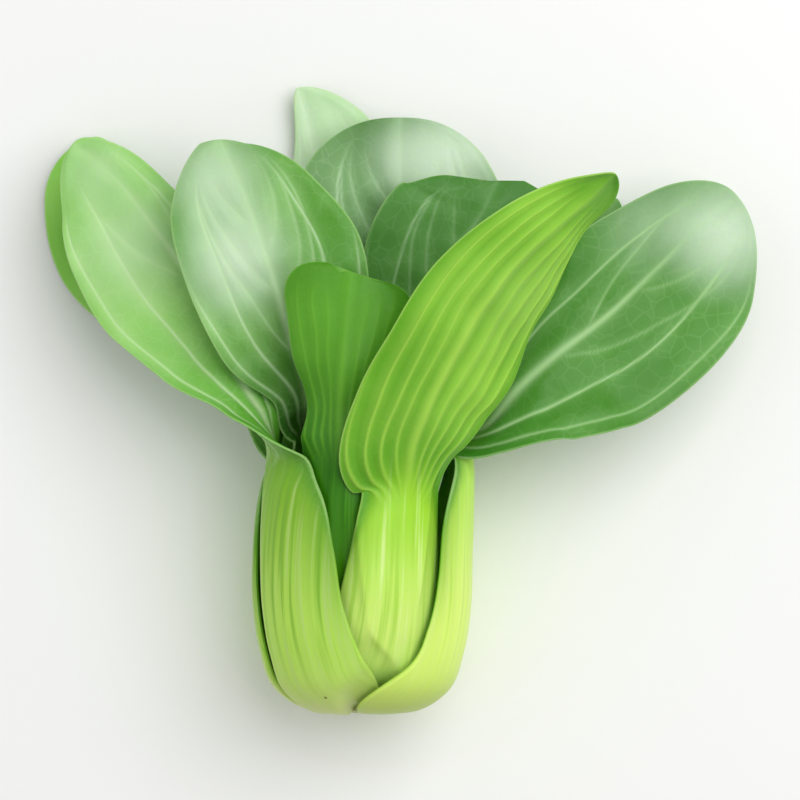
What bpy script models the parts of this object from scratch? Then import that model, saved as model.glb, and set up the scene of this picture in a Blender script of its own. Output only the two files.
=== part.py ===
# Bok choy, cut at the stem and lying on its back: petioles nested round a short stem, blades fanned out.
# Y runs from the cut stem to the leaf tips, Z is up, and the leaves' own numbers are in millimetres.
import bpy
import numpy as np

MM = 0.001

# Body: the skin that the outer petioles share, as (radius, y) from the stem to above the neck.
SKIN = [(9.0, -90.0), (17.5, -88.6), (25.8, -82.5), (29.6, -72.0), (31.6, -59.0), (31.9, -45.0),
        (31.6, -31.0), (30.6, -18.0), (29.0, -6.0), (27.8, 6.0)]
NECK_POINT = 7            # the point of SKIN where the blades start to leave the nest
BODY_RADIUS = 31.9
BASE_LIFT = 0.9           # how far up the stem an inner petiole starts, for each mm that it lies deeper
AXIS_X = -11.2
AXIS_Z = 30.3
LEAN_Y = -55.0            # above this the neck leans sideways
NECK_LEAN = 0.0015        # by this much per mm squared

# Nest of petioles
NEST_GAP = 0.8            # clear space between one petiole and the next
MARGIN_THICK = 1.3
NECK_THICK = 0.55         # of the greatest thickness
PETIOLE_THINS = (0.35, 1.1)  # where the thinning begins and ends
CRESCENT_POWER = 1.6
CROWN = 0.9               # how much deeper a petiole's edges lie than its middle
SINK_AT = (0.12, 0.62)    # places along the leaf between which a sunken foot comes up
NEST_COLUMNS = 240
NEST_ROWS = 65
NEST_TOP = 1.25
REACH = (3, 6)            # rows and columns by which a petiole keeps clear of a neighbour's edge
ROUNDING_PASSES = (10, 14)  # over the rows and over the columns
SPAN_EDGE = 1.03          # of a petiole's span is counted as taken
NEST_STATIONS = (0.55, 0.8, 1.0)  # stations in the nest, as parts of the way to the leaf's neck
LEAVE_FROM = 0.9          # the petiole leaves the nest between these two places along the leaf
LEAVE_TO = 1.12
THIN_AT = 1.35            # and here it is as thin as the blade

# Blades
BLADE_THICK = 0.9
RIB_THICK = 0.9
TIP_WIDTH = 0.4
WAVE_SHIFT = 1.7          # phase between the two edges
WAVE_POWER = 2.5
RIB_WIDTH = 0.16          # of the half width
RIB_FADE = (1.5, 2.0)     # places along the leaf where the rib starts to thin and is gone
FLOOR_SHEET = 0.8         # least thickness where a leaf lies on the table
LOBE_AT = (0.98, 1.06, 1.30)  # where the lobes at a blade's foot begin, are longest, and end
WAVE_AT = (1.05, 1.35, 1.80)  # where the edge's waves begin, are full, and start to fade
CREST_FROM = 1.5          # where a sloping top edge starts to show
NOTCH_WIDTH = 0.22        # of the half width
CREST_WIDTH = 6.0         # mm of half width from which the slope is full

# Stem
STEM_GAP = 1.3            # between the stem and the petioles' ends
STEM_RECESS = 0.8         # of the cut face, from where the petioles start
STEM_TOP_DEPTH = 24.0     # the stem ends where petioles this deep start
STEM_TOP_FLAT = 0.6       # of the top's radius
STEM_TOP_DROP = 0.8       # from the flat top to its edge
CUT_EDGE = (0.8, 0.5)     # the cut face's rounded edge, inwards and upwards
STEM_STEPS = 24
WELD = 0.00005            # metres, for the points on the stem's axis

LEAST_CURL = 0.001        # radians
TANGENT_STEP = 0.001      # places along the leaf between which its direction is read

# Colours, as linear RGB, and roughness
OUTER_GREEN = (0.30, 0.55, 0.08, 1.0)
INNER_GREEN = (0.10, 0.30, 0.07, 1.0)
HEART_GREEN = (0.46, 0.66, 0.16, 1.0)
CUT_STEM = (0.62, 0.66, 0.36, 1.0)
LEAF_ROUGHNESS = 0.45
STEM_ROUGHNESS = 0.6

# Grid of one leaf: across from edge to edge, and along from the stem (0) over the neck (1) to the tip (2).
ACROSS = np.array([-1.0, -0.78, -0.45, -0.14, 0.0, 0.14, 0.45, 0.78, 1.0])
ALONG = np.array([0.0, 0.05, 0.10, 0.16, 0.23, 0.32, 0.43, 0.56, 0.70, 0.84, 0.95, 1.04, 1.12, 1.20, 1.28,
                  1.36, 1.45, 1.54, 1.63, 1.72, 1.80, 1.87, 1.93, 1.975, 2.0])

# Half of what three outer petioles wrap, as (place along, degrees).
# The right and left ones' edges are the V in front.
RIGHT_WRAP = [(0, 98), (0.14, 95), (0.23, 80), (0.31, 62), (0.43, 53), (0.60, 47), (0.80, 44), (1, 33)]
LEFT_WRAP = [(0, 98), (0.10, 94), (0.22, 83), (0.35, 72), (0.50, 63.5), (0.70, 57.5), (0.88, 48.5), (1, 35)]
FAR_WRAP = [(0, 61), (0.3, 57), (0.7, 52), (0.85, 48), (1, 39)]

# One entry per leaf, the outermost first. angle: place round the stem in degrees, 0 at +X and 90 up.
# span: half of what it wraps, at the neck and at the stem, or wrap: the same at more places.
# petiole: its greatest thickness. deep: its least depth under the skin, and sink: how much more at its foot.
# tip: 1 is pointed, 2 round, more is blunt. wave: height, number and phase of the edge's waves.
# lobe: how far the foot of each side hangs down. crest: slope, place and depth of a notch in the top edge.
# stations, from the neck up: x, y, z of the midrib, roll, half width and curl of each side.
LEAVES = {
    "leaf_right": dict(
        angle=-4, neck=1.04, wrap=RIGHT_WRAP, petiole=6.2, tip=2.2, wave=(0.9, 2.6, 0.3), stations=[
            (25, -8, 35, -130, 12, 13, 10, 20),
            (34, 3, 37, -158, 22.5, 18, 0, -55),
            (45, 13, 35, -172, 28.5, 22, 4, -45),
            (58, 23, 32, -180, 31, 24, 8, -25),
            (72, 36, 29, -180, 31, 22, 8, -10),
            (85, 49, 27, -180, 25, 16, 5, -5),
            (97, 59, 26, -180, 0, 0, 0, 0)]),
    "leaf_far_left": dict(
        angle=224, wrap=FAR_WRAP, petiole=6.2, tip=2.2, wave=(0.9, 2.5, 1.2), stations=[
            (-34, -6, 11, 156, 12, 12, 10, 10),
            (-40, 5, 9, 176, 13, 12, 5, 5),
            (-50, 20, 7, 180, 17, 15, 4, 4),
            (-65, 36, 5, 182, 20, 24, 4, 6),
            (-78, 50, 3.5, 184, 15, 26, 4, 6),
            (-87, 65, 3, 184, 10, 19, 4, 4),
            (-91, 77, 4, 182, 0, 0, 0, 0)]),
    "leaf_left": dict(
        angle=162, wrap=LEFT_WRAP, petiole=6.2, tip=2.2, wave=(0.9, 2.6, 2.0), stations=[
            (-38, -9, 40, 108, 14, 15, 10, 10),
            (-43, 1, 37, 140, 14, 13, -10, 0),
            (-50, 14, 34, 165, 16, 20, -30, 0),
            (-59, 32, 32, 175, 17, 28, -40, 5),
            (-71, 50, 30, 180, 14, 27, -45, 8),
            (-83, 65, 28, 180, 9, 20, -30, 5),
            (-94, 74, 27, 180, 0, 0, 0, 0)]),
    "leaf_back_tip": dict(
        angle=285, span=(25, 80), petiole=5.4, tip=1.9, wave=(0.8, 2.2, 0.7), stations=[
            (-8, -6, 4.6, 186, 11, 6, 8, 8),
            (-12, 12, 5, 182, 17, 12, 4, 4),
            (-16, 29, 5, 180, 20, 14, 4, 4),
            (-21, 53, 5, 180, 21, 12, 4, 4),
            (-26, 76, 5, 180, 19, 5, 4, 0),
            (-30, 91.5, 6, 180, 0, 0, 0, 0)]),
    "leaf_front": dict(
        angle=66, span=(25, 75), petiole=5.6, deep=1.8, sink=4, tip=1.8, neck=0.88,
        lobe=(9, 0), wave=(0.8, 3.0, 0.0), green=OUTER_GREEN, stations=[
            (3, -14, 60, -22, 19, 17, 20, 25),
            (7, -3, 64, -24, 20, 22, 25, 30),
            (14, 11, 69, -26, 19, 26, 30, 40),
            (24, 28, 75, -30, 18, 26, 40, 45),
            (36, 42, 79, -36, 14.5, 22, 40, 50),
            (49, 53, 82, -45, 10.5, 17, 35, 50),
            (59, 62, 84, -55, 0, 0, 0, 0)]),
    "leaf_right_back": dict(
        angle=294, span=(18, 60), petiole=4.8, tip=1.8, wave=(0.8, 2.2, 0.4), stations=[
            (12, -3, 13.7, -172, 9, 8.5, 10, 10),
            (23, 9, 9.5, -178, 14, 13, 4, 4),
            (35, 24, 7, -180, 16, 16, 4, 4),
            (48, 41, 4, -180, 14, 15, 4, 4),
            (57, 51, 2.5, -180, 10, 10, 4, 4),
            (64, 59, 2, -180, 0, 0, 0, 0)]),
    "leaf_inner_front": dict(
        angle=107, span=(28, 70), petiole=4.6, tip=6.0, crest=(-2.2, -0.4, 1.6), wave=(0.5, 2.2, 1.0),
        green=OUTER_GREEN, stations=[
            (-16.6, -2, 56.6, 14, 11.4, 12, 30, 25),
            (-16, 10, 60, 6, 15, 15, 28, 25),
            (-15, 21, 61, 0, 17.5, 17.5, 25, 25),
            (-14.5, 29, 61, 0, 18.5, 19, 25, 25),
            (-14, 36, 60, 0, 0, 0, 0, 0)]),
    "leaf_back": dict(
        angle=262, span=(34, 70), petiole=4.6, tip=2.6, wave=(0.9, 3.0, 0.5), stations=[
            (-6, 4, 14, 175, 13, 15, 15, 15),
            (-3, 17, 17, 178, 22, 22, 10, 10),
            (-1, 35, 18, 180, 28, 28, 6, 6),
            (0, 52, 19, 180, 31, 31, 4, 4),
            (0, 68, 18, 180, 26, 27, 4, 4),
            (0, 82, 17, 180, 0, 0, 0, 0)]),
    "leaf_mid_left": dict(
        angle=200, span=(30, 58), petiole=4.0, tip=2.1, crest=(2.5, 0, 0), wave=(0.9, 3.0, 1.6),
        stations=[
            (-27, 2, 33, 155, 10, 10.3, 15, 5),
            (-32, 20, 42, 172, 24, 21, 5, 0),
            (-37, 38, 45, 178, 27, 24, 5, 5),
            (-43.5, 57, 45, 180, 20, 22.5, 5, 8),
            (-51, 74, 42, 180, 0, 0, 0, 0)]),
    "leaf_inner_right": dict(
        angle=320, span=(30, 54), petiole=4.0, deep=10.5, tip=4.0, crest=(-3.5, 0, 0),
        wave=(0.9, 3.0, 2.4), stations=[
            (4, 9, 24, -165, 15, 17, 12, 12),
            (9, 28, 28, -178, 19, 22, 6, 6),
            (16, 43, 29.8, -180, 27, 25, 5, 5),
            (23, 53, 29.8, -180, 28, 23, 4, 4),
            (28, 63, 29, -180, 0, 0, 0, 0)]),
    "heart_leaf_1": dict(
        angle=30, span=(36, 46), petiole=3.2, deep=14, tip=1.8, wave=(0.4, 2.0, 0.0), stations=[
            (6, 4, 40, -58, 7, 7, 45, 45),
            (5, 13, 41, -58, 6, 6, 40, 40),
            (3, 21, 42, -58, 0, 0, 0, 0)]),
    "heart_leaf_2": dict(
        angle=147, span=(31, 41), petiole=3.0, deep=16, tip=1.8, wave=(0.4, 2.0, 1.0), stations=[
            (-16, 4, 44, 50, 6, 6, 45, 45),
            (-14, 10, 46, 48, 6, 6, 40, 40),
            (-12, 16, 47, 45, 0, 0, 0, 0)]),
    "heart_leaf_3": dict(
        angle=88, span=(40, 50), petiole=2.6, deep=19, tip=1.8, wave=(0.4, 2.0, 2.0), stations=[
            (-7, 5, 46, 0, 4.5, 4.5, 40, 40),
            (-7, 11, 48, 0, 4.5, 4.5, 40, 40),
            (-6, 17, 49, 0, 0, 0, 0, 0)]),
}


def clear_scene():
    for thing in list(bpy.data.objects):
        bpy.data.objects.remove(thing, do_unlink=True)


def ease(low, high, value):
    """Smooth step: 0 below low, 1 above high."""
    t = np.clip((value - low) / (high - low), 0, 1)
    return t * t * (3 - 2 * t)


def hermite(knots, values, where):
    """Smooth curve through the values at the knots, read at the places in where."""
    knots = np.asarray(knots, float)
    values = np.asarray(values, float)
    slopes = np.gradient(values, knots, axis=0)
    i = np.clip(np.searchsorted(knots, where, side="right") - 1, 0, len(knots) - 2)
    width = knots[i + 1] - knots[i]
    t = (where - knots[i]) / width
    if values.ndim > 1:
        t, width = t[..., None], width[..., None]
    return ((1 + 2 * t) * (1 - t) ** 2 * values[i] + t * (1 - t) ** 2 * width * slopes[i]
            + t * t * (3 - 2 * t) * values[i + 1] + t * t * (t - 1) * width * slopes[i + 1])


def skin_knots():
    """Length along the skin's profile, as 0 at the stem and 1 at the neck."""
    steps = np.linalg.norm(np.diff(np.array(SKIN), axis=0), axis=1)
    length = np.concatenate([[0], np.cumsum(steps)])
    return length / length[NECK_POINT]


def axis_x(y):
    """Sideways place of the body's axis, which leans above LEAN_Y."""
    return AXIS_X + NECK_LEAN * np.maximum(y - LEAN_Y, 0) ** 2


def nest_point(angle, along, depth):
    """Point of the nest: angle round the axis in degrees, place along, and depth below the skin."""
    radius, y = np.moveaxis(hermite(skin_knots(), SKIN, along), -1, 0)
    radius = radius * (1 - depth / BODY_RADIUS)
    y = y + BASE_LIFT * depth
    a = np.radians(angle)
    return np.stack([axis_x(y) + radius * np.cos(a), y, AXIS_Z + radius * np.sin(a)], axis=-1)


def half_span(leaf, along):
    """Half of the angle that the petiole wraps: wide at the stem, narrow at the neck."""
    along = np.minimum(along, 1)
    if "wrap" in leaf:
        places, spans = zip(*leaf["wrap"])
        return hermite(places, spans, along)
    neck, base = leaf["span"]
    return neck + (base - neck) * (1 - along) ** 2


def petiole_thickness(leaf, along, side):
    """Crescent: thick in the middle, thin at the edges, and thinner towards the neck."""
    middle = leaf["petiole"] * (1 - (1 - NECK_THICK) * ease(*PETIOLE_THINS, along))
    return MARGIN_THICK + (middle - MARGIN_THICK) * np.maximum(1 - side ** 2, 0) ** CRESCENT_POWER


def nest_grid():
    angles = np.arange(NEST_COLUMNS) * 360 / NEST_COLUMNS
    along = np.linspace(0, NEST_TOP, NEST_ROWS)
    return np.meshgrid(along, angles, indexing="ij")


def beside(grid, axis):
    """The grid moved by one to both sides: the columns close on themselves, the rows end at their ends."""
    if axis == 1:
        return np.roll(grid, 1, 1), np.roll(grid, -1, 1)
    return np.vstack([grid[:1], grid[:-1]]), np.vstack([grid[1:], grid[-1:]])


def settle(depth):
    """Depth that clears what is there: the greatest near each place, then rounded off."""
    for axis, reach in enumerate(REACH):
        for _ in range(reach):
            depth = np.maximum(depth, np.maximum(*beside(depth, axis)))
    for axis, passes in enumerate(ROUNDING_PASSES):
        for _ in range(passes):
            before, after = beside(depth, axis)
            depth = (before + 2 * depth + after) / 4
    return depth


def pack_nest():
    """Depth of each petiole's outer face, laid in from the outermost leaf to the heart."""
    along, angles = nest_grid()
    taken = np.zeros_like(along)
    outer = {}
    for name, leaf in LEAVES.items():
        side = (leaf["angle"] - angles + 180) % 360 - 180
        side = side / half_span(leaf, along)
        deep = leaf.get("deep", 0) + leaf.get("sink", 0) * (1 - ease(*SINK_AT, along))
        face = np.maximum(settle(taken) + CROWN * np.clip(side ** 2, 0, 1), deep)
        outer[name] = face
        inner = face + petiole_thickness(leaf, along, np.clip(side, -1, 1)) + NEST_GAP
        taken = np.where(np.abs(side) <= SPAN_EDGE, np.maximum(taken, inner), taken)
    return outer


def read_nest(depth, along, angles):
    """Depth between the nest's rows and columns."""
    row = np.clip(along / NEST_TOP * (NEST_ROWS - 1), 0, NEST_ROWS - 1.001)
    column = (angles % 360) / 360 * NEST_COLUMNS
    r, c = np.floor(row).astype(int), np.floor(column).astype(int)
    fr, fc = row - r, column - c
    c, d = c % NEST_COLUMNS, (c + 1) % NEST_COLUMNS
    return ((depth[r, c] * (1 - fc) + depth[r, d] * fc) * (1 - fr)
            + (depth[r + 1, c] * (1 - fc) + depth[r + 1, d] * fc) * fr)


def blade_stations(leaf, depth):
    """All stations of a leaf's midrib: three in the nest, then its own. Returns knots and values."""
    rows = []
    for along in np.array(NEST_STATIONS) * leaf.get("neck", 1.0):
        deep = read_nest(depth, np.array(along), np.array(float(leaf["angle"])))
        deep = deep + petiole_thickness(leaf, along, 0.0) / 2
        x, y, z = nest_point(float(leaf["angle"]), np.array(along), deep)
        span = half_span(leaf, along)
        width = np.radians(span) * np.hypot(x - axis_x(y), z - AXIS_Z)
        roll = (leaf["angle"] - 90 + 180) % 360 - 180
        rows.append((x, y, z, roll, width, width, span, span))
    first_roll, blade_roll = rows[0][3], leaf["stations"][0][3]
    turn = round((blade_roll - first_roll) / 360) * 360
    rows = [row[:3] + (row[3] + turn,) + row[4:] for row in rows]
    blade = np.array([rows[-1]] + leaf["stations"], float)
    steps = np.linalg.norm(np.diff(blade[:, :3], axis=0), axis=1)
    knots = 1 + np.concatenate([[0], np.cumsum(steps)]) / np.sum(steps)
    return np.concatenate([NEST_STATIONS[:-1], knots]), np.vstack([rows[:-1], blade])


def blade_faces(leaf, depth, along, across):
    """Middle surface of the blade and its outward direction, from the stations."""
    knots, values = blade_stations(leaf, depth)
    along = np.maximum(along, knots[0] + TANGENT_STEP)
    widths = np.maximum(hermite(knots, values[:, 4:6] ** leaf["tip"], along), 0) ** (1 / leaf["tip"])
    widths = np.maximum(widths, TIP_WIDTH)
    middle = hermite(knots, values[:, :3], along)
    ahead = np.minimum(along + TANGENT_STEP, 2)
    tangent = hermite(knots, values[:, :3], ahead) - hermite(knots, values[:, :3], ahead - 2 * TANGENT_STEP)
    tangent /= np.linalg.norm(tangent, axis=1, keepdims=True)
    level = np.cross(tangent, [0, 0, 1])
    level /= np.linalg.norm(level, axis=1, keepdims=True)
    rise = np.cross(level, tangent)
    roll = np.radians(hermite(knots, values[:, 3], along))[:, None]
    right = np.cos(roll) * level + np.sin(roll) * rise
    out = -np.sin(roll) * level + np.cos(roll) * rise
    curls = np.radians(hermite(knots, values[:, 6:8], along))
    positive = across > 0
    width = np.where(positive, widths[:, 1:], widths[:, :1])
    curl = np.where(positive, curls[:, 1:], curls[:, :1])
    curl = np.where(np.abs(curl) < LEAST_CURL, LEAST_CURL, curl)
    turn = curl * np.abs(across)
    sideways = (width * np.sin(turn) / curl * np.sign(across))[..., None]
    inward = (width * (1 - np.cos(turn)) / curl)[..., None]
    surface = middle[:, None] + sideways * right[:, None] - inward * out[:, None]
    left_lobe, right_lobe = leaf.get("lobe", (0, 0))
    lobe = np.where(positive, right_lobe, left_lobe) * across ** 2
    begin, longest, end = LOBE_AT
    fade = ease(begin, longest, along) * (1 - ease(longest, end, along))
    slope, notch, dip = leaf.get("crest", (0, 0, 0))
    crest = slope * across - dip * np.exp(-((across - notch) / NOTCH_WIDTH) ** 2)
    crest = crest * ease(CREST_FROM, 2, along)[:, None] * np.minimum(width / CREST_WIDTH, 1)
    shift = crest - lobe * fade[:, None]
    surface = surface + shift[..., None] * tangent[:, None]
    leaning = (np.sin(turn) * np.sign(across))[..., None]
    normal = np.cos(turn)[..., None] * out[:, None] + leaning * right[:, None]
    return surface, normal


def edge_wave(leaf, along, across):
    """Waves that grow towards the blade's edges and fade at the neck and the tip."""
    height, count, phase = leaf["wave"]
    begin, full, fading = WAVE_AT
    fade = ease(begin, full, along) * (1 - ease(fading, 2, along))
    swing = np.sin(2 * np.pi * count * (along - 1) + phase + WAVE_SHIFT * (across > 0))
    return height * fade * swing * np.abs(across) ** WAVE_POWER


def leaf_faces(leaf, depth, along, across):
    """Outer and inner face of a leaf, as two grids of points in millimetres."""
    a, s = np.meshgrid(along, across, indexing="ij")
    climb = np.minimum(a * leaf.get("neck", 1.0), NEST_TOP)
    angles = leaf["angle"] - s * half_span(leaf, climb)
    deep = read_nest(depth, climb, angles)
    thick = petiole_thickness(leaf, climb, s)
    nested_out = nest_point(angles, climb, deep)
    nested_in = nest_point(angles, climb, deep + thick)
    surface, normal = blade_faces(leaf, depth, along, across)
    surface = surface + edge_wave(leaf, a, s)[..., None] * normal
    sheet = BLADE_THICK + RIB_THICK * np.exp(-(s / RIB_WIDTH) ** 2) * (1 - ease(*RIB_FADE, a))
    sheet = sheet + (thick - sheet) * (1 - ease(LEAVE_FROM, THIN_AT, a))
    stay = (1 - ease(LEAVE_FROM, LEAVE_TO, a))[..., None]
    outer = stay * nested_out + (1 - stay) * (surface + normal * sheet[..., None] / 2)
    inner = stay * nested_in + (1 - stay) * (surface - normal * sheet[..., None] / 2)
    return rest_on_floor(outer, inner)


def rest_on_floor(outer, inner):
    """Flattens the lower face on the table, and keeps the sheet above it at least as thick as a blade."""
    lower_is_outer = outer[..., 2] <= inner[..., 2]
    low = np.maximum(np.minimum(outer[..., 2], inner[..., 2]), 0)
    high = np.maximum(np.maximum(outer[..., 2], inner[..., 2]), low + FLOOR_SHEET * (low == 0))
    outer[..., 2] = np.where(lower_is_outer, low, high)
    inner[..., 2] = np.where(lower_is_outer, high, low)
    return outer, inner


def loft(name, outer, inner, material, home):
    """Closed body between two faces of the same grid, joined round the edge."""
    rows, columns = outer.shape[:2]
    points = np.concatenate([outer.reshape(-1, 3), inner.reshape(-1, 3)]) * MM
    at = np.arange(rows * columns).reshape(rows, columns)
    under = at + rows * columns
    faces = []
    for r in range(rows - 1):
        for c in range(columns - 1):
            a, b, d, e = at[r, c], at[r, c + 1], at[r + 1, c + 1], at[r + 1, c]
            faces += [(a, b, d), (a, d, e)]
            a, b, d, e = under[r, c], under[r, c + 1], under[r + 1, c + 1], under[r + 1, c]
            faces += [(a, d, b), (a, e, d)]
    edge = ([at[0, c] for c in range(columns)] + [at[r, -1] for r in range(1, rows)]
            + [at[-1, c] for c in range(columns - 2, -1, -1)] + [at[r, 0] for r in range(rows - 2, 0, -1)])
    for i, a in enumerate(edge):
        b = edge[(i + 1) % len(edge)]
        d, e = b + rows * columns, a + rows * columns
        faces += [(a, e, d), (a, d, b)]
    mesh = bpy.data.meshes.new(name)
    mesh.from_pydata(points.tolist(), [], [tuple(int(v) for v in face) for face in faces])
    mesh.polygons.foreach_set("use_smooth", [True] * len(mesh.polygons))
    mesh.materials.append(material)
    mesh.validate()
    body = bpy.data.objects.new(name, mesh)
    home.objects.link(body)
    return body


def plain_material(name, colour, roughness):
    material = bpy.data.materials.new(name)
    material.use_nodes = True
    shader = material.node_tree.nodes["Principled BSDF"]
    shader.inputs["Base Color"].default_value = colour
    shader.inputs["Roughness"].default_value = roughness
    shader.inputs["Metallic"].default_value = 0.0
    return material


def stem_base(home):
    """Short cone of stem that the petioles stand round, with its cut face at the bottom."""
    radius, start = SKIN[0]
    top = radius * (1 - STEM_TOP_DEPTH / BODY_RADIUS) - STEM_GAP
    low, high = start + STEM_RECESS, start + BASE_LIFT * STEM_TOP_DEPTH
    side, (inwards, upwards) = radius - STEM_GAP, CUT_EDGE
    profile = [(0, high), (top * STEM_TOP_FLAT, high), (top, high - STEM_TOP_DROP), (side, low + upwards),
               (side - inwards, low), (0, low)]
    mesh = bpy.data.meshes.new("stem_base")
    edges = [(i, i + 1) for i in range(len(profile) - 1)]
    mesh.from_pydata([(r * MM, 0, y * MM) for r, y in profile], edges, [])
    stem = bpy.data.objects.new("stem_base", mesh)
    stem.location = (AXIS_X * MM, 0, AXIS_Z * MM)
    stem.rotation_euler = (-np.pi / 2, 0, 0)
    mesh.materials.append(plain_material("cut_stem", CUT_STEM, STEM_ROUGHNESS))
    home.objects.link(stem)
    turn = stem.modifiers.new("turn", "SCREW")
    turn.steps = turn.render_steps = STEM_STEPS
    turn.use_merge_vertices = True
    turn.merge_threshold = WELD
    turn.use_smooth_shade = True
    return stem


def main():
    clear_scene()
    home = bpy.data.collections.new("bok_choy")
    bpy.context.scene.collection.children.link(home)
    nest = pack_nest()
    for name, leaf in LEAVES.items():
        outer, inner = leaf_faces(leaf, nest[name], ALONG, ACROSS)
        green = HEART_GREEN if name.startswith("heart") else leaf.get("green", INNER_GREEN)
        loft(name, outer, inner, plain_material(name, green, LEAF_ROUGHNESS), home)
    stem_base(home)


main()
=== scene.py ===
# Bok choy lying on a pale table, seen from straight above. Lengths are millimetres until a mesh is made.
import bpy
import numpy as np
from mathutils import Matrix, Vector


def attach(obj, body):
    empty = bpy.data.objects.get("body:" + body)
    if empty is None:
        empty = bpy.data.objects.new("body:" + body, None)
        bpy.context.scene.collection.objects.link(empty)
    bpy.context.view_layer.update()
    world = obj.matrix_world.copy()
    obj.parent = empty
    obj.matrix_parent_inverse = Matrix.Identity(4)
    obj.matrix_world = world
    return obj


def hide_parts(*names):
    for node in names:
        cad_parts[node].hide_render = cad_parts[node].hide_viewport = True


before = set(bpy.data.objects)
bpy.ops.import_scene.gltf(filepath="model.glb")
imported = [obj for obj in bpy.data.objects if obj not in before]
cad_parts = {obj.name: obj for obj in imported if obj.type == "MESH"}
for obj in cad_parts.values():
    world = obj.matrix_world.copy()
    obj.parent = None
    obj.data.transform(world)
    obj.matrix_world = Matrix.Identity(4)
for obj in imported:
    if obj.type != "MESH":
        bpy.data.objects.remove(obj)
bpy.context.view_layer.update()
mm = 0.001
print("frame loaded")

# The body that the petioles share, and how they lie in each other: the same real sizes as the solids have.
body = dict(skin=[(9.0, -90.0), (17.5, -88.6), (25.8, -82.5), (29.6, -72.0), (31.6, -59.0), (31.9, -45.0),
                  (31.6, -31.0), (30.6, -18.0), (29.0, -6.0), (27.8, 6.0)],  # radius and y, from the stem up
            neckPoint=7, radius=31.9, baseLift=0.9, axisX=-11.2, axisZ=30.3, leanFrom=-55.0, lean=0.0015)
nest = dict(columns=240, rows=65, top=1.25, gap=0.8, margin=1.3, neckThick=0.55, thins=(0.35, 1.1),
            power=1.6, crown=0.9, sinkAt=(0.12, 0.62), reach=(3, 6), rounding=(10, 14), spanEdge=1.03,
            stations=(0.55, 0.8, 1.0), leave=(0.9, 1.12), thinAt=1.35)
blade = dict(thick=0.9, rib=0.9, ribWidth=0.16, ribFade=(1.5, 2.0), tip=0.4, waveShift=1.7, wavePower=2.5,
             lobeAt=(0.98, 1.06, 1.30), waveAt=(1.05, 1.35, 1.80), crestFrom=1.5, notchWidth=0.22,
             crestWidth=6.0, leastCurl=0.001, step=0.001)


def smoothStep(low, high, value):
    # 0 below low, 1 above high, 3t^2 - 2t^3 between
    t = np.clip((value - low) / (high - low), 0, 1)
    return t * t * (3 - 2 * t)


def throughPoints(knots, values, where):
    # cubic Hermite curve through the values, with slopes from their neighbours
    knots, values = np.asarray(knots, float), np.asarray(values, float)
    slopes = np.gradient(values, knots, axis=0)
    i = np.clip(np.searchsorted(knots, where, side="right") - 1, 0, len(knots) - 2)
    width = knots[i + 1] - knots[i]
    t = (where - knots[i]) / width
    if values.ndim > 1:
        t, width = t[..., None], width[..., None]
    return ((1 + 2 * t) * (1 - t) ** 2 * values[i] + t * (1 - t) ** 2 * width * slopes[i]
            + t * t * (3 - 2 * t) * values[i + 1] + t * t * (t - 1) * width * slopes[i + 1])


def axisX(y):
    # the body's axis leans sideways with the square of the height above leanFrom
    return body["axisX"] + body["lean"] * np.maximum(y - body["leanFrom"], 0) ** 2


def nestPoint(angle, along, depth):
    # a point at an angle round the body, at the skin's profile less the depth
    steps = np.linalg.norm(np.diff(np.array(body["skin"]), axis=0), axis=1)
    length = np.concatenate([[0], np.cumsum(steps)])
    radius, y = np.moveaxis(throughPoints(length / length[body["neckPoint"]], body["skin"], along), -1, 0)
    radius = radius * (1 - depth / body["radius"])
    y = y + body["baseLift"] * depth
    a = np.radians(angle)
    return np.stack([axisX(y) + radius * np.cos(a), y, body["axisZ"] + radius * np.sin(a)], axis=-1)


def halfSpan(leaf, along):
    # half of the angle wrapped: wide at the stem, narrower with the square of the way to the neck
    along = np.minimum(along, 1)
    if "wrap" in leaf:
        return throughPoints(*zip(*leaf["wrap"]), along)
    neck, base = leaf["span"]
    return neck + (base - neck) * (1 - along) ** 2


def petioleThickness(leaf, along, side):
    # crescent: margin + (middle - margin)(1 - side^2)^power, thinner towards the neck
    middle = leaf["petiole"] * (1 - (1 - nest["neckThick"]) * smoothStep(*nest["thins"], along))
    return nest["margin"] + (middle - nest["margin"]) * np.maximum(1 - side ** 2, 0) ** nest["power"]


def beside(grid, axis):
    # the grid moved by one to both sides; the columns close on themselves
    if axis == 1:
        return np.roll(grid, 1, 1), np.roll(grid, -1, 1)
    return np.vstack([grid[:1], grid[:-1]]), np.vstack([grid[1:], grid[-1:]])


def settle(depth):
    # the greatest depth near each place, then a running mean of three over rows and over columns
    for axis, reach in enumerate(nest["reach"]):
        for _ in range(reach):
            depth = np.maximum(depth, np.maximum(*beside(depth, axis)))
    for axis, passes in enumerate(nest["rounding"]):
        for _ in range(passes):
            before, after = beside(depth, axis)
            depth = (before + 2 * depth + after) / 4
    return depth


def packNest(leaves):
    # each petiole's outer face lies under all the petioles laid before it
    angles = np.arange(nest["columns"]) * 360 / nest["columns"]
    along, angles = np.meshgrid(np.linspace(0, nest["top"], nest["rows"]), angles, indexing="ij")
    taken, outer = np.zeros_like(along), {}
    for name, leaf in leaves.items():
        side = ((leaf["angle"] - angles + 180) % 360 - 180) / halfSpan(leaf, along)
        deep = leaf.get("deep", 0) + leaf.get("sink", 0) * (1 - smoothStep(*nest["sinkAt"], along))
        face = np.maximum(settle(taken) + nest["crown"] * np.clip(side ** 2, 0, 1), deep)
        outer[name] = face
        inner = face + petioleThickness(leaf, along, np.clip(side, -1, 1)) + nest["gap"]
        taken = np.where(np.abs(side) <= nest["spanEdge"], np.maximum(taken, inner), taken)
    return outer


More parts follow.
